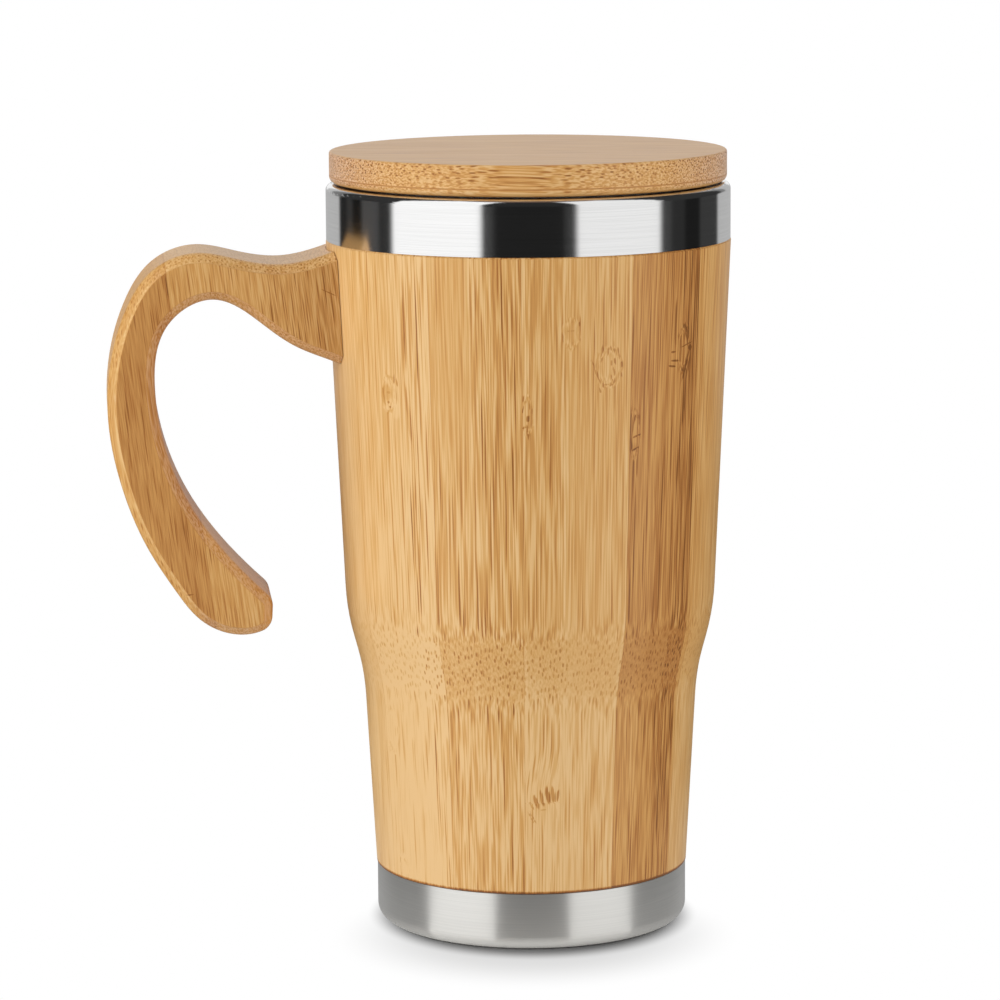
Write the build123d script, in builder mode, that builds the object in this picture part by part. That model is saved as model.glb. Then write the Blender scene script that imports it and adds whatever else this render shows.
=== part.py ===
from build123d import *
from math import cos, radians, sin, tan
import os

# A bamboo travel mug. Twelve glued staves are turned to a sleeve with a stepped waist. A drawn steel
# liner hangs in it by its folded collar, a steel base cup closes its foot, a bamboo hook is screwed on
# as the handle, and a bamboo lid with a sealed plug closes the mouth.
# Millimetres, +Z up, origin at the centre of the foot, handle towards -X.

# Steel base cup: a pressed pan that stands on a ring round a raised middle
base_radius = 34.0
base_height = 12.5
base_wall = 0.8
foot_round = 3.0
foot_ring_width = 7.5
recess_depth = 1.8
recess_slope = 2.5
recess_round = 1.5
base_fit = 0.1
seam_gap = 0.15

# Turned bamboo sleeve: two gentle tapers joined by a steeper cone at the waist
sleeve_top = 150.0
sleeve_top_radius = 43.8
sleeve_top_wall = 4.55
waist_height = 55.2
waist_radius = 36.5
waist_cone_height = 13.4
waist_cone_step = 3.65
waist_round = 50.0
foot_step = 0.15
rebate_wall = 4.2
sleeve_arris = 0.4
stave_phase = 24.0
stave_widths = [30, 30, 30, 30, 28, 32, 31, 27, 32, 30, 30, 30]

# Drawn steel liner, folded over at the lip and down again as the collar
liner_wall = 0.6
liner_fit = 0.25
liner_floor = 9.0
liner_corner_round = 8.0
neck_depth = 16.0
neck_bend_round = 30.0
collar_height = 12.0
collar_inset = 0.1
lip_inner_round = 1.6
lip_outer_round = 1.5

# Bamboo handle: a hook sawn from board, its edges bevelled and then eased towards the rim
handle_thickness = 24.0
handle_edge_bevel = 2.0
handle_bevel_round = 2.0
handle_reach = 47.65
arm_width = 10.2
root_depth = 4.0
tip_round = 3.5
saddle_glue = 0.15

# The hook's outline, outward and upward from the sleeve's top edge: outside from the root over the thumb
# dip and the crown down to the toe, and inside from the toe up round the finger gap to the root
outside_points = [
    (-root_depth, -0.3),
    (1.1, -2.2),
    (9.6, -4.0),
    (19.3, -2.8),
    (handle_reach - 19.7, -1.3),
    (handle_reach - 10.1, -4.9),
    (handle_reach - 4.4, -13.0),
    (handle_reach, -34.5),
    (handle_reach - 2.9, -52.0),
    (handle_reach - 8.2, -65.2),
    (handle_reach - 13.7, -74.1),
    (28.0, -81.2),
    (20.8, -84.1),
    (13.2, -82.3),
]
inside_points = [
    (12.9, -76.4),
    (20.3, -69.1),
    (handle_reach - arm_width - 7.4, -56.0),
    (handle_reach - arm_width, -29.5),
    (handle_reach - arm_width - 3.1, -16.6),
    (24.9, -11.4),
    (14.0, -17.1),
    (7.2, -21.8),
    (0.3, -24.7),
    (-root_depth, -26.5),
]

# Two countersunk wood screws from inside the sleeve into the handle's root
screw_diameter = 3.5
screw_length = 16.0
screw_point_length = 4.0
screw_head_diameter = 6.4
screw_head_sink = 0.3
screw_spacing = 8.4
screw_drop = 12.0
screw_fit = 0.1

# Bamboo lid, its moulded plug and the plug's silicone seal
lid_thickness = 6.7
lid_inset = 0.8
lid_gap = 0.3
lid_top_round = 0.5
lid_low_round = 1.4
plug_depth = 11.8
plug_gap = 0.8
plug_wall = 1.6
plug_edge_round = 1.2
plug_socket_depth = 1.2
plug_fit = 0.1
groove_lip = 3.4
groove_width = 3.4
groove_depth = 1.6
seal_fit = 0.1
seal_gap = 0.3
seal_inset = 0.3
seal_rib_width = 1.2

# Places that follow from those sizes
seam_height = base_height + seam_gap
rebate_radius = base_radius - base_wall - base_fit
rebate_chamfer = foot_round - base_wall
rim_height = sleeve_top + collar_height
neck_bottom = rim_height - neck_depth
bore_top_radius = sleeve_top_radius - sleeve_top_wall
bore_foot_radius = rebate_radius - rebate_wall
neck_radius = bore_top_radius - liner_fit - liner_wall
collar_radius = sleeve_top_radius - collar_inset
screw_heights = [sleeve_top - screw_drop + side * screw_spacing / 2 for side in (-1, 1)]
screw_head_height = (screw_head_diameter - screw_diameter) / 2
lid_underside = rim_height + lid_gap
plug_bottom = lid_underside - plug_depth
plug_top = lid_underside + plug_socket_depth
plug_radius = neck_radius - plug_gap
groove_bottom = plug_bottom + groove_lip
groove_radius = plug_radius - groove_depth


def bore_at(height):
    """Radius of the sleeve's tapered bore at this height, below the neck."""
    share = (height - base_wall) / (neck_bottom - base_wall)
    return bore_foot_radius + share * (bore_top_radius - bore_foot_radius)


def sleeve_corners(allowance):
    """Corners of the turned outline from the seam up, this far outside the finished sleeve."""
    return [
        (base_radius + foot_step + allowance, seam_height),
        (waist_radius + allowance, waist_height),
        (waist_radius + waist_cone_step + allowance, waist_height + waist_cone_height),
        (sleeve_top_radius + allowance, sleeve_top),
    ]


def waist_fillet():
    """The waist's rounding, held to what the length of its cone leaves room for."""
    foot, low, high, top = [Vector(*corner) for corner in sleeve_corners(0)]
    low_bend = radians((low - foot).get_angle(high - low))
    high_bend = radians((high - low).get_angle(top - high))
    straight_left = 0.02
    room = (1 - straight_left) * (high - low).length / (tan(low_bend / 2) + tan(high_bend / 2))
    return min(waist_round, room)


def radial_plane(angle):
    """Upright plane through the axis, whose first direction points outward at this angle."""
    turn = radians(angle)
    return Plane(origin=(0, 0, 0), x_dir=(cos(turn), sin(turn), 0), z_dir=(sin(turn), -cos(turn), 0))


def handle_plane(reach, across, height):
    """Plane along the handle's board, from this point, with its first direction pointing outward."""
    return Plane(origin=(-reach, across, height), x_dir=(-1, 0, 0), z_dir=(0, 1, 0))


os.makedirs("parts", exist_ok=True)

# Base cup: one sheet, pressed to a pan with a rounded foot
with BuildPart() as base_cup:
    with BuildSketch(Plane.XZ):
        with BuildLine():
            FilletPolyline(
                (0, recess_depth),
                (base_radius - foot_ring_width - recess_slope, recess_depth),
                (base_radius - foot_ring_width, 0),
                (base_radius, 0),
                (base_radius, base_height),
                radius=[recess_round, recess_round, foot_round],
            )
            offset(amount=base_wall, side=Side.LEFT)
        make_face()
    revolve(axis=Axis.Z)
base_cup.part.label = "base_cup"
export_step(base_cup.part, "parts/base_cup.step")

# Handle screws: plain wood screws with their heads sunk below the sleeve's bore
with BuildPart() as handle_screws:
    for height in screw_heights:
        with BuildSketch(handle_plane(bore_at(height) + screw_head_sink, 0, height)):
            with BuildLine():
                Polyline(
                    (0, 0),
                    (0, screw_head_diameter / 2),
                    (screw_head_height, screw_diameter / 2),
                    (screw_length - screw_point_length, screw_diameter / 2),
                    (screw_length, 0),
                    close=True,
                )
            make_face()
        revolve(axis=Axis((0, 0, height), (1, 0, 0)))
handle_screws.part.label = "handle_screws"
export_step(handle_screws.part, "parts/handle_screws.step")

# The holes for those screws, with a little air all round and open towards the liner
with BuildPart() as screw_holes:
    for height in screw_heights:
        with BuildSketch(handle_plane(bore_at(height) + screw_head_sink, 0, height)):
            with BuildLine():
                Polyline(
                    (-screw_length, 0),
                    (-screw_length, screw_head_diameter / 2 + screw_fit),
                    (0, screw_head_diameter / 2 + screw_fit),
                    (screw_head_height, screw_diameter / 2 + screw_fit),
                    (screw_length + screw_fit, screw_diameter / 2 + screw_fit),
                    (screw_length + screw_fit, 0),
                    close=True,
                )
            make_face()
        revolve(axis=Axis((0, 0, height), (1, 0, 0)))

# Staves: wedges that meet on flat glue faces, turned outside and bored to the liner inside, with a
# rebate at the foot that enters the base cup. Each takes its share of the ring by its width
stave_start = stave_phase
for number, width in enumerate(stave_widths, start=1):
    stave_arc = 360 * width / sum(stave_widths)
    with BuildPart() as stave:
        with BuildSketch(radial_plane(stave_start)):
            with BuildLine():
                turned = FilletPolyline(*sleeve_corners(0), radius=waist_fillet())
                Polyline(
                    turned @ 1,
                    (bore_top_radius, sleeve_top),
                    (bore_top_radius, neck_bottom),
                    (bore_foot_radius, base_wall),
                    (rebate_radius - rebate_chamfer, base_wall),
                    (rebate_radius, base_wall + rebate_chamfer),
                    (rebate_radius, seam_height),
                    turned @ 0,
                )
            make_face()
        revolve(axis=Axis.Z, revolution_arc=stave_arc)
        top_arcs = stave.faces().sort_by(Axis.Z)[-1].edges().filter_by(GeomType.CIRCLE)
        chamfer(top_arcs.sort_by(SortBy.RADIUS)[-1], sleeve_arris)
        add(screw_holes.part, mode=Mode.SUBTRACT)
    stave.part.label = f"stave_{number:02d}"
    export_step(stave.part, f"parts/{stave.part.label}.step")
    stave_start += stave_arc

# Liner: one sheet, drawn to a tapered cup that follows the bore, with a straight neck for the plug
with BuildPart() as liner_cup:
    with BuildSketch(Plane.XZ):
        with BuildLine():
            FilletPolyline(
                (0, liner_floor),
                (bore_at(liner_floor) - liner_fit - liner_wall, liner_floor),
                (neck_radius, neck_bottom),
                (neck_radius, rim_height),
                (collar_radius, rim_height),
                (collar_radius, sleeve_top),
                radius=[liner_corner_round, neck_bend_round, lip_inner_round, lip_outer_round],
            )
            offset(amount=liner_wall, side=Side.RIGHT)
        make_face()
    revolve(axis=Axis.Z)
liner_cup.part.label = "liner_cup"
export_step(liner_cup.part, "parts/liner_cup.step")

# Handle: the hook is sawn and its edges are bevelled first, and then its root is cut to a saddle
with BuildPart() as handle:
    with BuildSketch(handle_plane(sleeve_top_radius, -handle_thickness / 2, sleeve_top)):
        with BuildLine():
            outside = Spline(*outside_points)
            inside = Spline(*inside_points)
            Line(outside @ 1, inside @ 0)
            Line(inside @ 1, outside @ 0)
        make_face()
    extrude(amount=handle_thickness)
    tip_corners = handle.edges().filter_by(Axis.Y).sort_by(Axis.Z)[:2]
    fillet(tip_corners, tip_round)
    root_edges = handle.faces().sort_by(Axis.X)[-1].edges()
    board_edges = handle.faces().filter_by(Axis.Y).edges()
    chamfer([edge for edge in board_edges if edge not in root_edges], handle_edge_bevel)
    bevel_depth = handle_thickness / 2 - handle_edge_bevel
    near_rim = handle.edges().filter_by_position(Axis.Y, -bevel_depth - 0.1, -bevel_depth + 0.1)
    far_rim = handle.edges().filter_by_position(Axis.Y, bevel_depth - 0.1, bevel_depth + 0.1)
    fillet(near_rim + far_rim, handle_bevel_round)
    with BuildSketch(Plane.XZ):
        with BuildLine():
            saddle = FilletPolyline(*sleeve_corners(saddle_glue), radius=waist_fillet())
            Polyline(saddle @ 1, (0, sleeve_top), (0, seam_height), saddle @ 0)
        make_face()
    revolve(axis=Axis.Z, mode=Mode.SUBTRACT)
    add(screw_holes.part, mode=Mode.SUBTRACT)
handle.part.label = "handle"
export_step(handle.part, "parts/handle.step")

# Lid disc: a flat round of bamboo with eased edges and a shallow socket for the plug
with BuildPart() as lid_disc:
    with Locations((0, 0, lid_underside)):
        Cylinder(
            collar_radius - lid_inset,
            lid_thickness,
            align=(Align.CENTER, Align.CENTER, Align.MIN),
        )
    fillet(lid_disc.faces().sort_by(Axis.Z)[-1].edges(), lid_top_round)
    fillet(lid_disc.faces().sort_by(Axis.Z)[0].edges(), lid_low_round)
    with Locations((0, 0, lid_underside)):
        Cylinder(
            plug_radius + plug_fit,
            plug_socket_depth,
            align=(Align.CENTER, Align.CENTER, Align.MIN),
            mode=Mode.SUBTRACT,
        )
lid_disc.part.label = "lid_disc"
export_step(lid_disc.part, "parts/lid_disc.step")

# Lid plug: a moulded dish, closed towards the drink, with a groove round it for the seal
with BuildPart() as lid_plug:
    with BuildSketch(Plane.XZ):
        with BuildLine():
            Polyline(
                (0, plug_bottom),
                (plug_radius, plug_bottom),
                (plug_radius, groove_bottom),
                (groove_radius, groove_bottom),
                (groove_radius, groove_bottom + groove_width),
                (plug_radius, groove_bottom + groove_width),
                (plug_radius, plug_top),
                (groove_radius - plug_wall, plug_top),
                (groove_radius - plug_wall, plug_bottom + plug_wall),
                (0, plug_bottom + plug_wall),
                close=True,
            )
        make_face()
    revolve(axis=Axis.Z)
    fillet(lid_plug.faces().sort_by(Axis.Z)[0].edges(), plug_edge_round)
lid_plug.part.label = "lid_plug"
export_step(lid_plug.part, "parts/lid_plug.step")

# Lid seal: a silicone band that fills the groove, with two soft ribs towards the neck
seal_low = groove_bottom + seal_fit
seal_high = groove_bottom + groove_width - seal_fit
seal_radius = neck_radius - seal_gap
with BuildPart() as lid_seal:
    with BuildSketch(Plane.XZ):
        with BuildLine():
            Polyline(
                (groove_radius + seal_fit, seal_low),
                (plug_radius - seal_inset, seal_low),
                (seal_radius, seal_low + seal_rib_width / 2),
                (plug_radius - seal_inset, seal_low + seal_rib_width),
                (plug_radius - seal_inset, seal_high - seal_rib_width),
                (seal_radius, seal_high - seal_rib_width / 2),
                (plug_radius - seal_inset, seal_high),
                (groove_radius + seal_fit, seal_high),
                close=True,
            )
        make_face()
    revolve(axis=Axis.Z)
lid_seal.part.label = "lid_seal"
export_step(lid_seal.part, "parts/lid_seal.step")
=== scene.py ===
from math import cos, pi, radians, sin

import bpy
from mathutils import Matrix, Vector

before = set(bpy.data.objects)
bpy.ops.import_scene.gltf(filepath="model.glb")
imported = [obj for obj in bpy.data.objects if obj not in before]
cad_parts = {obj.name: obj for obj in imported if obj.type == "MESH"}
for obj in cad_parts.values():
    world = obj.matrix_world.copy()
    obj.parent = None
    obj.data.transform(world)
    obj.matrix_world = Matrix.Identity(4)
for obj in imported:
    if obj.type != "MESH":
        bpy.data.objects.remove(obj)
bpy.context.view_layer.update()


# Base cup: a pan pressed from stainless sheet and pushed up over the foot of the staves. It was brushed
# while it turned, so its scratches run round the axis and smear reflections up and down.
class Wire:
    """One value on its way through a finish. Arithmetic on wires adds Math nodes to their node tree."""

    def __init__(self, tree, socket=None):
        self.tree = tree
        self.socket = socket

    def node(self, kind, settings, sockets, output=0):
        """Adds a node, sets it up, feeds its sockets with values or wires, and gives one of its outputs."""
        made = self.tree.nodes.new("ShaderNode" + kind)
        for name, value in settings.items():
            if name == "stops":
                made.color_ramp.interpolation = settings.get("steps", "LINEAR")
                while len(made.color_ramp.elements) < len(value):
                    made.color_ramp.elements.new(1.0)
                for element, (place, colour) in zip(made.color_ramp.elements, value):
                    element.position = place
                    element.color = colour
            elif name != "steps":
                setattr(made, name, value)
        for name, value in sockets.items():
            if isinstance(value, Wire):
                self.tree.links.new(value.socket, made.inputs[name])
            else:
                made.inputs[name].default_value = value
        return Wire(self.tree, made.outputs[output] if len(made.outputs) else None)

    def also(self, output):
        """Another output of the node that this wire comes from."""
        return Wire(self.tree, self.socket.node.outputs[output])

    def maths(self, operation, first, second):
        return self.node("Math", {"operation": operation}, {0: first, 1: second})

    def __abs__(self):
        return self.node("Math", {"operation": "ABSOLUTE"}, {0: self})

    def most(self, other):
        """The larger of two wires, point by point."""
        return self.maths("MAXIMUM", self, other)

    def __add__(self, other):
        return self.maths("ADD", self, other)

    def __sub__(self, other):
        return self.maths("SUBTRACT", self, other)

    def __rsub__(self, other):
        return self.maths("SUBTRACT", other, self)

    def __mul__(self, other):
        return self.maths("MULTIPLY", self, other)

    def __truediv__(self, other):
        return self.maths("DIVIDE", self, other)

    def __rtruediv__(self, other):
        return self.maths("DIVIDE", other, self)

    def __pow__(self, other):
        return self.maths("POWER", self, other)

    __radd__ = __add__
    __rmul__ = __mul__

    def rises(self, low, high):
        """A mask that climbs smoothly from 0 at low to 1 at high."""
        climb = {"Value": self, "From Min": low, "From Max": high}
        return self.node("MapRange", {"interpolation_type": "SMOOTHSTEP"}, climb)

    def vector(self, x, y, z):
        return self.node("CombineXYZ", {}, {0: x, 1: y, 2: z})

    def noise(self, x, y, z, detail=2.0):
        """Cloudy noise around 0.5, with one lump to each unit of x, y and z."""
        return self.node("TexNoise", {}, {"Vector": self.vector(x, y, z), "Scale": 1.0, "Detail": detail})

    def tint(self, low, high):
        """Colour low where this mask is 0 and colour high where it is 1."""
        return self.node("Mix", {"data_type": "RGBA"}, {0: self, 6: low, 7: high}, 2)


def new_finish(name):
    """An empty finish, with the wires of a point's place on the object in millimetres."""
    finish = bpy.data.materials.new(name)
    finish.use_nodes = True
    finish.node_tree.nodes.clear()
    start = Wire(finish.node_tree)
    metres = start.node("TexCoord", {}, {}, "Object")
    place = start.node("VectorMath", {"operation": "SCALE"}, {0: metres, "Scale": 1000.0})
    x = place.node("SeparateXYZ", {}, {0: place}, "X")
    return finish, x, x.also("Y"), x.also("Z")


def lay_on(wire, sockets, height=None, relief=0.0):
    """Ends a finish with its surface, and with a relief in millimetres where it has one."""
    if height is not None:
        bump = {"Height": height, "Strength": 1.0, "Distance": relief / 1000}
        sockets = {**sockets, "Normal": wire.node("Bump", {}, bump)}
    surface = wire.node("BsdfPrincipled", {}, sockets)
    wire.node("OutputMaterial", {}, {"Surface": surface})


def dress(node, finish):
    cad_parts[node].material_slots[0].material = finish


quarter_turn = 0.25
scratch_shade = 0.94


def turned_steel(name, colour, shine, smear, lines, relief):
    """Stainless steel brushed round the axis, which smears reflections up and down. Lines are per mm."""
    finish, x, y, z = new_finish(name)
    radius = (x * x + y * y) ** 0.5
    scratch = x.noise(x * 0.03, y * 0.03, (z + radius) * lines, 3.0)
    patch = x.noise(x * 0.12, y * 0.12, z * 0.5)
    smooth, rough = shine
    darker = [scratch_shade * part for part in colour[:3]] + [1]
    lay_on(x, {
        "Base Color": scratch.rises(0.35, 0.65).tint(darker, colour),
        "Metallic": 1.0,
        "Roughness": smooth + (rough - smooth) * (0.6 * scratch + 0.4 * patch),
        "Anisotropic": smear,
        "Anisotropic Rotation": quarter_turn,
    }, scratch, relief)
    return finish


base_steel = (0.82, 0.81, 0.775, 1)
base_shine = (0.26, 0.4)
dress("base_cup", turned_steel("brushed_base_steel", base_steel, base_shine, 0.85, 7.0, 0.003))


# Staves: twelve tapered lengths of bamboo board, glued edge to edge into a tube and turned. Each was
# sawn from culm strips that differ in tone. The fibres stand upright in them, so the lathe cut them
# into long streaks on the gentle taper, into dots on the steep waist and into knots where they bend.
pale_bamboo = (0.81, 0.53, 0.243, 1)
golden_bamboo = (0.722, 0.421, 0.148, 1)
honey_bamboo = (0.635, 0.322, 0.087, 1)
brown_bamboo = (0.425, 0.165, 0.033, 1)
fibre_brown = (0.2, 0.07, 0.012, 1)
chalky_end = (0.72, 0.5, 0.36, 1)
bundles_per_mm = 1.25
hairs_per_mm = 3.0
fibre_sway = 0.4
bamboo_relief = 0.012


def bamboo_grain(across, depth, along, even=0.25):
    """Broad tone streaks, hair lines and dark fibre bundles that run along the culm, from millimetres."""
    sway = across.noise(across * 0.05, depth * 0.05, along * 0.02) - 0.5
    across = across + fibre_sway * sway
    depth = depth + fibre_sway * sway
    broad = across.noise(across * 0.33, depth * 0.33, along * 0.006, 3.0) - 0.5
    hairs = across.noise(across * hairs_per_mm, depth * hairs_per_mm, along * 0.03, 1.0)
    hairs = hairs.rises(0.32, 0.68) - 0.5
    place = across.vector(across * bundles_per_mm, depth * bundles_per_mm, 0.0)
    section = {"Vector": place, "Scale": 1.0, "Randomness": 0.85}
    cell = across.node("TexVoronoi", {"voronoi_dimensions": "2D"}, section, "Distance")
    strength = cell.node("SeparateColor", {}, {0: cell.also("Color")}, "Red")
    bundles = (1 - cell.rises(0.12, 0.32)) * (even + (1 - even) * strength)
    return broad, hairs, bundles


def bamboo_surface(tone, hairs, marks, cut_ends=None):
    """Lacquered bamboo of a tone from 0, brown, to 1, pale, with dark marks and chalky cut ends."""
    stops = [
        (0.0, fibre_brown), (1 / 3, brown_bamboo), (2 / 3, honey_bamboo),
        (5 / 6, golden_bamboo), (1.0, pale_bamboo),
    ]
    colour = tone.node("ValToRGB", {"stops": stops}, {0: (tone - marks + 0.5) / 1.5})
    if cut_ends is not None:
        colour = (cut_ends * (0.5 + hairs) * (1 - marks)).tint(colour, chalky_end)
    lay_on(tone, {
        "Base Color": colour,
        "Roughness": 0.45 + 0.1 * hairs,
        "Specular IOR Level": 0.4,
        "Coat Weight": 0.2,
        "Coat Roughness": 0.2,
    }, 0.5 * hairs - marks, bamboo_relief)


def glued_strips(across, start, span, strips):
    """Tone and fibre strength of the strip that a point lies in, for strips that start at their edges."""
    stops = [((edge - start) / span, (tone, fibres / 2, 0, 1)) for edge, tone, fibres in strips]
    ramp = across.node("ValToRGB", {"steps": "CONSTANT", "stops": stops}, {0: (across - start) / span})
    tone = ramp.node("SeparateColor", {}, {0: ramp}, "Red")
    return tone, tone.also("Green") * 2


def oval(across, height, place, wide, tall, lean=0.0, core=0.3):
    """1 inside an oval on a stave, fading to 0 at its rim. Its upper end leans over by lean per mm."""
    middle, level = place
    aside = (across - middle - lean * (height - level)) / wide
    above = (height - level) / tall
    return 1 - (aside * aside + above * above).rises(core, 1.0)


# Each strip has the place of its edge in the stave, its tone and how strongly its fibres show.
strip_plans = {
    1: [(-12.0, 0.58, 0.9), (-4.0, 0.46, 1.1), (5.2, 0.63, 0.6)],
    2: [(-12.0, 0.34, 1.0), (1.5, 0.4, 0.8)],
    3: [(-12.0, 0.65, 0.7), (-6.0, 0.58, 1.0), (4.4, 0.73, 0.6)],
    4: [(-12.0, 0.5, 1.2), (-2.2, 0.54, 0.8)],
    5: [(-12.0, 0.78, 0.6), (-1.0, 0.7, 0.8), (6.3, 0.75, 0.6)],
    6: [(-12.0, 0.83, 0.6), (3.0, 0.88, 0.5)],
    7: [(-12.0, 0.87, 0.7), (-9.3, 0.89, 0.85), (5.2, 0.95, 1.6)],
    8: [(-12.0, 0.66, 0.95), (-0.9, 0.63, 1.0)],
    9: [(-12.0, 0.7, 1.0), (-2.5, 0.73, 0.7), (3.1, 0.69, 0.8)],
    10: [(-12.0, 0.28, 0.85), (-3.8, 0.23, 0.9), (2.4, 0.1, 1.4), (8.3, 0.52, 0.8)],
    11: [(-12.0, 0.58, 0.7), (-1.0, 0.62, 0.8)],
    12: [(-12.0, 0.44, 1.0), (-5.0, 0.53, 0.7), (3.4, 0.4, 1.1)],
}
# Some staves grow paler downwards, from the outer wood of the culm into the inner.
paler_below = {7: 0.12, 8: 0.06, 9: 0.03, 11: 0.08}
# Swells are where fibres bulge outwards and the cut runs across them: place, half sizes and bulge in mm.
swells = {
    2: [((3.0, 98.0), 3.0, 7.0, 2.0)],
    4: [((-4.0, 128.0), 2.6, 6.0, 1.8), ((2.0, 30.0), 2.2, 5.0, 1.6)],
    5: [((3.0, 84.0), 2.5, 7.0, 2.0)],
    7: [((0.3, 120.0), 2.6, 4.5, 1.0), ((-7.4, 45.5), 3.0, 6.0, 1.1), ((-5.3, 14.0), 2.5, 5.0, 1.1)],
    9: [((6.6, 126.6), 3.6, 5.0, 0.9), ((-10.8, 117.0), 1.6, 5.0, 0.7), ((-1.6, 134.0), 2.2, 4.0, 0.7)],
    10: [((-9.8, 112.0), 1.6, 6.0, 1.0), ((3.4, 129.0), 2.4, 6.0, 1.1)],
    12: [((-2.0, 110.0), 2.6, 6.0, 2.0)],
}
# Stains and scars are single marks: place, half sizes, lean and darkness.
scars = {
    7: [((-0.3, 120.3), 1.8, 2.3, 0.0, 0.24), ((-1.3, 119.6), 0.3, 2.3, -0.2, 0.42),
        ((0.3, 120.4), 0.8, 0.4, 0.0, 0.42), ((0.2, 118.3), 0.45, 0.4, 0.0, 0.7),
        ((0.6, 117.3), 0.3, 0.3, 0.0, 0.65), ((2.0, 123.5), 0.24, 1.3, 0.05, 0.6),
        ((2.8, 122.8), 0.28, 1.1, -0.15, 0.6), ((5.1, 132.5), 0.75, 10.0, 0.02, 0.45),
        ((5.2, 130.5), 0.4, 4.5, 0.05, 0.62), ((5.6, 116.5), 0.6, 8.0, -0.1, 0.45)],
    9: [((-8.35, 32.2), 0.3, 1.0, -0.5, 0.6), ((-7.5, 33.1), 0.44, 1.9, -0.24, 0.75),
        ((-6.3, 33.9), 0.52, 2.1, -0.2, 0.78), ((-5.1, 34.5), 0.54, 2.3, -0.15, 0.8),
        ((-3.9, 34.7), 0.56, 2.3, -0.1, 0.82), ((-2.85, 34.4), 0.36, 1.6, 0.1, 0.75),
        ((-8.6, 29.9), 0.16, 1.8, -0.46, 0.6), ((-8.1, 29.7), 0.16, 1.7, -0.46, 0.55),
        ((-6.0, 31.3), 0.7, 0.24, 1.2, 0.25), ((-3.0, 30.4), 0.2, 1.6, 0.0, 0.35),
        ((0.2, 135.0), 0.32, 3.4, 0.0, 0.55), ((0.1, 136.0), 0.34, 0.8, 0.0, 0.75),
        ((-3.5, 132.9), 0.26, 2.7, 0.1, 0.45), ((-1.8, 134.6), 1.0, 0.22, 0.6, 0.24),
        ((3.3, 133.2), 0.26, 4.8, 0.0, 0.5), ((3.7, 125.8), 0.27, 2.9, -0.42, 0.5),
        ((4.7, 121.9), 0.28, 0.7, -0.3, 0.55), ((5.1, 130.1), 0.26, 1.7, 0.1, 0.6),
        ((6.4, 129.9), 0.22, 1.1, 0.1, 0.42), ((7.7, 131.3), 0.2, 1.1, 0.0, 0.4),
        ((8.8, 129.5), 0.22, 1.5, -0.15, 0.5), ((8.0, 127.8), 0.28, 0.9, -0.2, 0.55),
        ((7.2, 127.5), 0.24, 0.7, 0.0, 0.5), ((9.4, 127.1), 0.26, 0.8, 0.0, 0.55),
        ((9.5, 124.9), 0.26, 0.7, 0.0, 0.55), ((7.8, 125.7), 0.22, 1.1, -0.2, 0.45),
        ((7.3, 124.3), 0.22, 0.9, -0.3, 0.45), ((4.9, 128.2), 0.22, 0.8, 0.1, 0.45),
        ((6.1, 123.0), 0.6, 0.24, 0.0, 0.36), ((7.4, 122.9), 0.6, 0.24, 0.8, 0.36),
        ((-11.6, 120.5), 0.22, 0.9, 0.1, 0.55), ((-11.1, 119.6), 0.22, 0.6, 0.2, 0.45),
        ((-11.5, 118.3), 0.28, 1.1, 0.35, 0.7), ((-10.2, 118.9), 0.24, 0.9, 0.0, 0.55),
        ((-9.8, 117.8), 0.22, 0.8, 0.15, 0.55), ((-10.5, 116.3), 0.34, 0.8, 0.1, 0.7),
        ((-11.3, 114.4), 0.55, 0.36, 0.8, 0.55), ((-10.6, 113.4), 0.24, 1.9, -0.08, 0.5)],
    10: [((5.6, 129.1), 0.8, 0.7, 0.0, 0.9), ((4.4, 129.8), 0.7, 0.6, 3.7, 0.6),
         ((4.0, 132.8), 0.28, 2.0, -0.15, 0.65), ((4.9, 132.6), 0.28, 2.0, -0.1, 0.65),
         ((0.9, 126.7), 1.5, 0.28, -2.0, 0.75), ((-0.1, 125.6), 1.1, 0.32, -2.5, 0.75),
         ((0.1, 128.6), 0.8, 0.28, 0.0, 0.65), ((0.6, 134.5), 0.28, 6.2, 0.0, 0.62),
         ((-0.5, 133.5), 0.22, 5.2, 0.0, 0.45), ((1.6, 132.0), 0.26, 0.9, 0.0, 0.45),
         ((4.3, 125.5), 0.38, 4.0, 0.32, 0.7), ((5.1, 124.5), 0.28, 3.6, 0.2, 0.5),
         ((4.0, 118.0), 0.4, 6.0, 0.05, 0.4), ((-10.8, 113.0), 0.32, 6.0, 0.0, 0.5),
         ((-10.0, 114.2), 0.24, 2.8, 0.13, 0.55), ((-8.9, 114.4), 0.24, 2.4, 0.06, 0.55),
         ((-9.2, 111.6), 0.6, 0.5, 1.9, 0.65), ((-10.7, 110.0), 0.42, 2.7, -0.1, 0.55),
         ((-9.4, 108.9), 0.6, 0.55, 1.9, 0.7), ((-8.8, 105.5), 0.24, 3.2, 0.0, 0.5)],
}
stave_widths = [30, 30, 30, 30, 28, 32, 31, 27, 32, 30, 30, 30]
first_seam = 24.0
strips_start = -12.0
strips_span = 24.0
culm_lean = 0.026
culm_spacing = 70.0
waist_bottom = 55.2
waist_top = 68.6
waist_lean = 0.16
waist_wander = 4.0
scar_edge = -2.5
scar_height = 33.0
fibre_darkness = 0.6
glue_darkness = 0.35
foot_joint_shade = 1.3

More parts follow.
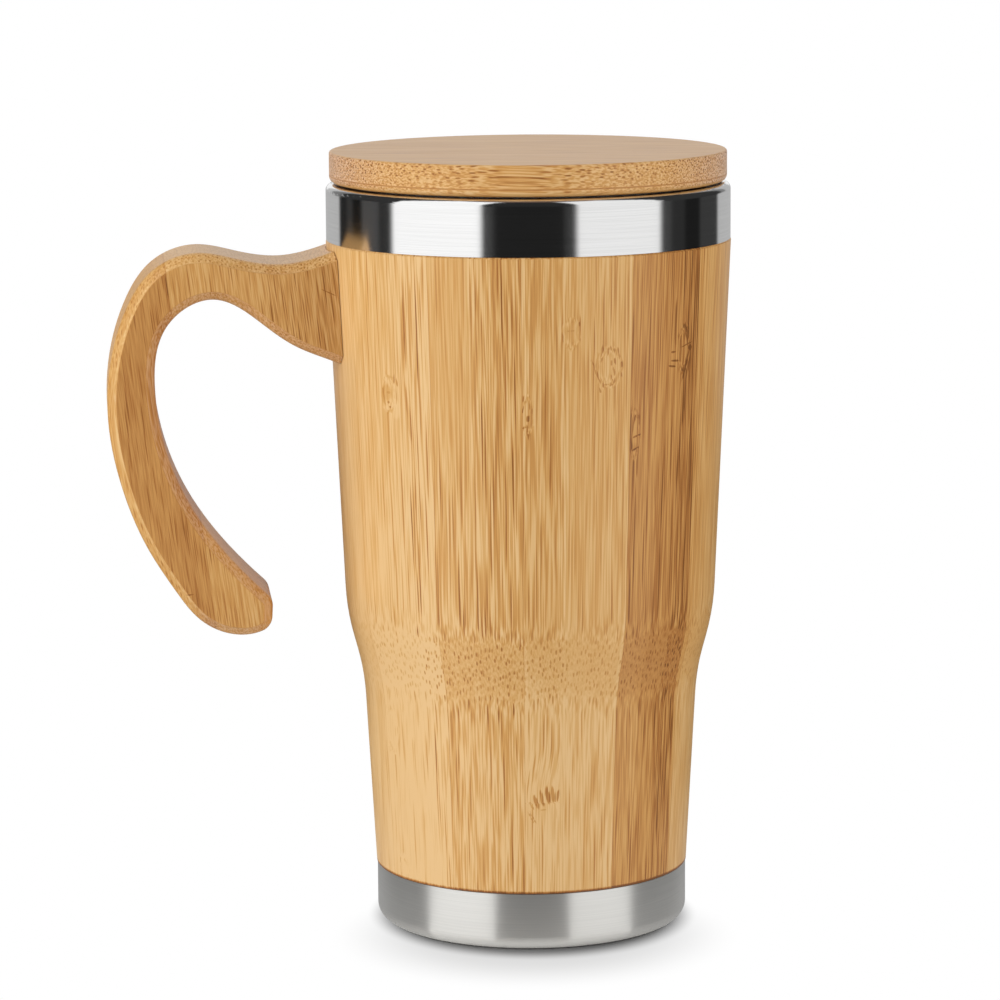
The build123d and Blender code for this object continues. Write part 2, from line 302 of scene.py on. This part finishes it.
for number in range(1, 13):
    stave = f"stave_{number:02d}"
    finish, x, y, z = new_finish(f"bamboo_{stave}")
    half_width = radians(stave_widths[number - 1] / 2)
    facing = radians(first_seam + sum(stave_widths[:number - 1])) + half_width
    depth = x * cos(facing) + y * sin(facing)
    across = y * cos(facing) - x * sin(facing)
    tone, fibres = glued_strips(across, strips_start, strips_span, strip_plans[number])
    if number == 8:
        # Its first strip is smoother towards the top.
        fibres = fibres * (1.25 - 0.6 * (1 - across.rises(-1.0, -0.8)) * z.rises(95, 120))

    wavy = across + 1.6 * (x.noise(across * 0.4, number, z * 0.25) - 0.5)
    swell = 0.0
    for place, wide, tall, bulge in swells.get(number, []):
        swell = swell + bulge * oval(wavy, z, place, wide, tall, core=0.0)
    grain_across = across
    if number == 9:
        # Above the branch scar the fibres step aside, and below it they stand straight again.
        in_strip = 1 - across.rises(scar_edge - 0.1, scar_edge + 0.1)
        stepped = z.rises(scar_height - 0.4, scar_height) * (1 - z.rises(scar_height + 1, scar_height + 13))
        grain_across = across + 1.1 * in_strip * stepped
    # On the waist the fibres lean out as they do near a joint of the culm, so the cut shows their ends.
    uneven = z + waist_wander * (x.noise(across * 0.16, 7.3 * number, 0.0) - 0.5)
    climb = {"Value": uneven - waist_bottom, "Min": 0.0, "Max": waist_top - waist_bottom}
    up_waist = z.node("Clamp", {}, climb)
    grain_depth = depth - culm_lean * z + waist_lean * up_waist + culm_spacing * number + swell
    broad, hairs, bundles = bamboo_grain(grain_across, grain_depth, z)
    marks = fibre_darkness * fibres * bundles
    ragged = across + 0.3 * hairs + 0.4 * broad
    for place, wide, tall, lean, darkness in scars.get(number, []):
        marks = marks.most(darkness * oval(ragged, z, place, wide, tall, lean))

    to_seam = depth * sin(half_width) - abs(across) * cos(half_width)
    glue = glue_darkness * (1 - to_seam.rises(0.02, 0.14))
    # The bottom edge of each stave is painted dark: painted shade in its joint with the base cup.
    foot = foot_joint_shade * (1 - z.rises(12.8, 13.35))
    marks = marks.most(glue).most(foot)
    above_bottom = uneven.rises(waist_bottom - 1.6, waist_bottom + 1.0)
    on_waist = above_bottom * (1 - uneven.rises(waist_top - 1.6, waist_top + 1.0))
    streaks = (1 - 0.6 * on_waist) * fibres * (0.65 * broad + 0.5 * hairs)
    below_waist = 1 - z.rises(50, 64)
    below_chest = 1 - z.rises(70, 125)
    # Below the waist every stave is painted 0.1 paler: painted light from the floor.
    tone = tone + 0.1 * below_waist + paler_below.get(number, 0.0) * below_chest + streaks
    if number == 7:
        tone = tone + 0.16 * oval(ragged, z, (2.2, 117.0), 1.5, 2.6)
    if number == 9:
        tone = tone + 0.1 * in_strip * below_waist
        tone = tone + 0.12 * (1 - (to_seam + 0.3 * hairs).rises(0.6, 1.0))
    bamboo_surface(tone, hairs, marks)
    dress(stave, finish)


# Handle screws: two zinc-plated wood screws, driven from inside the sleeve before the liner goes in.
# Nothing of them shows once the mug is together.
finish, x, y, z = new_finish("zinc_plate")
dulled = x.noise(x, y, z)
lay_on(x, {
    "Base Color": dulled.tint((0.5, 0.5, 0.5, 1), (0.62, 0.6, 0.55, 1)),
    "Metallic": 1.0,
    "Roughness": 0.35 + 0.2 * dulled,
})
dress("handle_screws", finish)


# Liner: a stainless cup, drawn in one piece, whose lip is folded over and down as the collar. It is
# polished until it mirrors the studio, with a trace of fine turning lines.
collar_steel = (0.98, 0.98, 0.975, 1)
dress("liner_cup", turned_steel("polished_liner_steel", collar_steel, (0.09, 0.16), 0.8, 5.0, 0.0002))


# Handle: a hook sawn from bamboo board of three glued strips with the grain near upright. Its edges are
# bevelled, its root is glued and screwed to the sleeve, and its end grain shows as dots on the bevel.
grain_lean = radians(7.0)
grain_dip = 0.035
face_fineness = 1.35
handle_side = 12.0
arm_seam = -60.5
handle_start = -100.0
handle_span = 100.0
handle_strips = [(handle_start, 0.29, 0.7), (arm_seam, 0.58, 0.9), (-40.0, 0.54, 1.15)]
crown_height = 143.0
finish, x, y, z = new_finish("bamboo_handle")
along = z * cos(grain_lean) - x * sin(grain_lean)
across = x * cos(grain_lean) + z * sin(grain_lean)
tone, fibres = glued_strips(across, handle_start, handle_span, handle_strips)
bevel = 1 - abs(y).rises(handle_side - 0.2, handle_side - 0.02)
fineness = face_fineness + (1 - face_fineness) * bevel
grain_depth = fineness * (y + grain_dip * along)
broad, hairs, bundles = bamboo_grain(fineness * across, grain_depth, along, 0.45)
arm = 1 - across.rises(arm_seam - 0.5, arm_seam + 0.5)
# The outer side of the arm bows out to the left, and the crown is above.
bowed = x + 89.5 - 0.36 * abs(z - 118.0)
lit_outer_side = (1 - bowed.rises(-2.0, 2.0)).most(z.rises(crown_height, crown_height + 2.5))
# The lamp on the left lights the outer side and the crown. Their bevels are painted 0.22 paler as painted
# light, the arm's outer bevel 0.18 more, and a pale line along the arm's arrises is a painted highlight.
# All other edge faces are 0.08 darker.
arris_highlight = abs(y).rises(handle_side - 0.8, handle_side - 0.4) * bevel
tone = tone + bevel * (0.22 * lit_outer_side - 0.08) + arm * (0.18 * lit_outer_side * bevel + 0.18 * arris_highlight)
tone = tone + 0.4 * broad + 0.38 * fibres * hairs
on_line = 1 - (abs(across - arm_seam) + 0.2 * broad).rises(0.04, 0.2)
torn = 0.45 * along.rises(crown_height, crown_height + 1) + 0.55 * along.rises(147.5, 149.0)
gap_in_glue = on_line * torn * (1 - 0.6 * along.rises(151.5, 153.0)) * (1 - bevel)
scratch = 0.6 * oval(z, x, (140.0, -44.0), 0.16, 1.9, -0.47)
nick = 0.55 * oval(z, x, (75.3, -74.7), 0.2, 1.0, 0.1)
darkness = (0.55 + bevel * (0.35 * lit_outer_side - 0.25)) * fibres
marks = (darkness * bundles).most(gap_in_glue).most(scratch).most(nick)
bamboo_surface(tone, hairs, marks, 0.4 * bevel * (1 - lit_outer_side))
dress("handle", finish)


# Lid disc: a round turned from flat bamboo board, with the grain from side to side, so that its edge
# shows end grain at both ends of the grain and long fibres between them.
lid_grain_turn = radians(-6.0)
lid_radius = 42.9
lid_glue_height = 163.9
lid_underside = 162.2
finish, x, y, z = new_finish("bamboo_lid")
along = x * cos(lid_grain_turn) + y * sin(lid_grain_turn)
across = y * cos(lid_grain_turn) - x * sin(lid_grain_turn)
broad, hairs, bundles = bamboo_grain(across + 0.04 * along, z + 0.03 * along, along, 0.5)
upper_layer = z.rises(165.0, 166.4)
edge = (x * x + y * y).rises((lid_radius - 0.3) ** 2, (lid_radius - 0.1) ** 2)
cut_ends = edge * (along * along / lid_radius ** 2).rises(0.3, 0.95)
glue_line = 0.75 * (1 - abs(z - lid_glue_height).rises(0.06, 0.22))
# The lowest 0.3 mm of the lid is painted dark: painted shade on its underside, which the collar's lip
# mirrors.
underside_shade = 1.2 * (1 - z.rises(lid_underside, lid_underside + 0.3))
tone = 0.63 - 0.08 * cut_ends + 0.4 * broad + (0.2 + 0.3 * edge + 0.6 * cut_ends) * hairs
darkness = 0.42 + 0.4 * upper_layer * edge + 0.6 * cut_ends
marks = (darkness * bundles).most(glue_line * (0.7 + hairs)).most(underside_shade)
bamboo_surface(tone, hairs, marks, 0.08 + 0.92 * cut_ends)
dress("lid_disc", finish)


# Plug and seal: the plug is a moulded dish glued under the lid disc, and the seal is a milky silicone
# ring with two ribs, stretched into the plug's groove.
finish, x, y, z = new_finish("plug_plastic")
cloud = x.noise(x * 0.4, y * 0.4, z * 0.4)
grit = x.noise(x * 6, y * 6, z * 6)
lay_on(x, {
    "Base Color": cloud.tint((0.78, 0.77, 0.73, 1), (0.82, 0.81, 0.78, 1)),
    "Roughness": 0.38 + 0.1 * grit,
}, grit, 0.01)
dress("lid_plug", finish)
finish, x, y, z = new_finish("seal_silicone")
cloud = x.noise(x * 0.6, y * 0.6, z * 0.6)
lay_on(x, {
    "Base Color": cloud.tint((0.74, 0.75, 0.74, 1), (0.8, 0.8, 0.78, 1)),
    "Roughness": 0.5 + 0.1 * cloud,
    "Subsurface Weight": 0.4,
    "Subsurface Scale": 0.002,
})
dress("lid_seal", finish)


# Studio: a white floor that keeps the mug's shadow, with a painted shadow under the mug for the camera, a
# soft box on each side, and black cards that give the polished collar its dark bands. The photograph's
# camera stands in front, a little above the lid.
studio_turn = radians(-6.0)
floor_radius = 0.75
card_height = 2.0
card_blur = 1.5
floor_white = (0.9, 0.9, 0.9, 1)
painted_contact_shadow = (0.225, 0.225, 0.225, 1)
flag_brown = (0.14, 0.095, 0.075, 1)


def stage_finish(name, surface_of):
    finish = bpy.data.materials.new(name)
    finish.use_nodes = True
    finish.node_tree.nodes.clear()
    start = Wire(finish.node_tree)
    start.node("OutputMaterial", {}, {"Surface": surface_of(start)})
    return finish


def seen_rays(start):
    """1 for rays that show the background, straight or in metal or glass, and 0 for those that light."""
    camera = start.node("LightPath", {}, {}, "Is Camera Ray")
    glossy = camera.also("Is Glossy Ray")
    clear = camera.also("Is Transmission Ray")
    return camera.most(glossy).most(clear), glossy


def cards_round(start, turn, cards):
    """Grey of the cards round the mug: each starts at its angle from the camera, in degrees."""
    stops = [(0.0, cards[-1][1])]
    for angle, grey in cards:
        stops += [((angle + 180 - card_blur) / 360, stops[-1][1]), ((angle + 180 + card_blur) / 360, grey)]
    stops = [(place, (grey, grey, grey, 1)) for place, grey in stops]
    return start.node("ValToRGB", {"stops": stops}, {0: turn / (2 * pi) + 0.5})


def floor_surface(start):
    """Matt under the mug, where its shadow lies and the camera sees it painted dark grey as a painted
    shadow, and plain white beyond. Metal sees grey cards on it.
    """
    metres = start.node("TexCoord", {}, {}, "Object")
    x = start.node("SeparateXYZ", {}, {0: metres}, "X")
    y = x.also("Y")
    seen, glossy = seen_rays(start)
    aside = x + 0.0015
    ahead = y + 0.02
    reach = (aside * aside + ahead * ahead) ** 0.5
    # Camera rays see the matt floor in dark grey, a painted shadow round the foot; all other rays see it
    # white.
    shade = (seen - glossy).tint(floor_white, painted_contact_shadow)
    matt = start.node("BsdfDiffuse", {}, {"Color": shade})
    radius = (x * x + y * y) ** 0.5
    mirrored = (x.maths("ARCTAN2", x, 0.0 - y) - studio_turn) / (1 - 0.017 / radius)
    near = cards_round(start, mirrored, [(-84, 1.0), (-27, 0.33), (28, 0.92), (81, 0.4)])
    far = cards_round(start, mirrored, [(-84, 1.0), (-27, 0.03), (28, 0.9), (81, 0.03)])
    shown = glossy.tint((1, 1, 1, 1), reach.rises(0.08, 0.16).tint(near, far))
    white = start.node("Emission", {}, {"Color": shown, "Strength": 1.0})
    nearer = y + 0.0008
    close = (1.25 * x * x + nearer * nearer) ** 0.5
    fade = close.rises(0.0325, 0.041) * (0.67 + 0.33 * reach.rises(0.02, 0.045))
    return start.node("MixShader", {}, {0: fade * seen, 1: matt, 2: white})


def card_surface(start):
    """Cards on a ring round the mug, dark on either side and grey low down behind it."""
    metres = start.node("TexCoord", {}, {}, "Object")
    x = start.node("SeparateXYZ", {}, {0: metres}, "X")
    turn = x.maths("ARCTAN2", x, 0.0 - x.also("Y")) - studio_turn
    left_cards = [(-132, 0.016), (-122, 0.035), (-115, 0.008), (-106, 0.065), (-91, 0.026), (-80.5, 0.97)]
    middle_cards = [(-25.5, 0.05), (-19, 0.012), (20, 0.04)]
    right_cards = [(26.5, 0.82), (78, 0.05), (86, 0.024), (97, 0.01), (111, 0.04)]
    low = cards_round(start, turn, left_cards + middle_cards + right_cards + [(133, 0.45)])
    upper_sides = [(-80.5, 1.0), (-25.5, 0.02), (26.5, 0.82), (78, 0.03)]
    upper_back = [(139, 0.2), (148, 0.45), (165, 0.9)]
    high = cards_round(start, turn, [(-160, 0.5), (-148, 0.2), (-136, 0.03)] + upper_sides + upper_back)
    grey = x.also("Z").rises(0.13, 0.19).tint(low, high)
    return start.node("Emission", {}, {"Color": grey, "Strength": 1.0})


def flag_surface(start):
    """The dim flag over the mug, which the collar's rounded lip mirrors."""
    return start.node("Emission", {}, {"Color": flag_brown, "Strength": 1.0})


bpy.ops.object.select_all(action="DESELECT")
bpy.ops.mesh.primitive_circle_add(vertices=96, radius=floor_radius, fill_type="NGON")
floor = bpy.context.object
floor.name = "studio_floor"
floor.data.materials.append(stage_finish("studio_white", floor_surface))

bpy.ops.object.select_all(action="DESELECT")
bpy.ops.mesh.primitive_cylinder_add(
    vertices=96, radius=floor_radius, depth=card_height, end_fill_type="NOTHING",
    location=(0, 0, card_height / 2),
)
cards = bpy.context.object
cards.name = "studio_cards"
bpy.ops.object.transform_apply()
cards.data.materials.append(stage_finish("card_greys", card_surface))

bpy.ops.object.select_all(action="DESELECT")
bpy.ops.mesh.primitive_circle_add(vertices=96, radius=floor_radius, fill_type="NGON")
flag = bpy.context.object
flag.name = "studio_flag"
flag.location.z = card_height
bpy.ops.object.transform_apply()
flag.data.materials.append(stage_finish("flag_shade", flag_surface))
for card in (cards, flag):
    card.visible_camera = False
    card.visible_diffuse = False
    card.visible_transmission = False
    card.visible_shadow = False


def soft_box(name, turn, lift, distance, size, watts):
    lamp = bpy.data.lights.new(name, "AREA")
    lamp.shape = "RECTANGLE"
    lamp.size, lamp.size_y = size
    lamp.energy = watts
    box = bpy.data.objects.new(name, lamp)
    bpy.context.scene.collection.objects.link(box)
    side = studio_turn + radians(turn)
    level = cos(radians(lift))
    towards = Vector((sin(side) * level, -cos(side) * level, sin(radians(lift))))
    mug_middle = Vector((0, 0, 0.08))
    box.location = mug_middle + towards * distance
    box.rotation_euler = towards.to_track_quat("Z", "Y").to_euler()
    box.visible_glossy = False


soft_box("left_soft_box", -66, 20, 0.9, (0.6, 0.8), 5.0)
soft_box("right_soft_box", 58, 20, 0.9, (0.6, 0.8), 3.2)

fill = 0.46
world = bpy.data.worlds.new("studio_world")
world.use_nodes = True
world.node_tree.nodes.clear()
start = Wire(world.node_tree)
seen = seen_rays(start)[0]
glow = start.node("Background", {}, {"Color": (1, 1, 1, 1), "Strength": fill + (1 - fill) * seen})
start.node("OutputWorld", {}, {"Surface": glow})
bpy.context.scene.world = world

camera_reach = 0.9146
camera_height = 0.2404
camera_pitch = radians(9.191)
camera_yaw = radians(0.405)
camera_roll = radians(-0.356)
camera_data = bpy.data.cameras.new("camera")
camera_data.sensor_width = 36.0
camera_data.lens = 152.68
camera = bpy.data.objects.new("camera", camera_data)
bpy.context.scene.collection.objects.link(camera)
camera.matrix_world = (
    Matrix.Rotation(studio_turn, 4, "Z")
    @ Matrix.Translation((0, -camera_reach, camera_height))
    @ Matrix.Rotation(camera_yaw, 4, "Z")
    @ Matrix.Rotation(radians(90) - camera_pitch, 4, "X")
    @ Matrix.Rotation(camera_roll, 4, "Z")
)
bpy.context.scene.camera = camera
bpy.context.scene.view_settings.view_transform = "Standard"
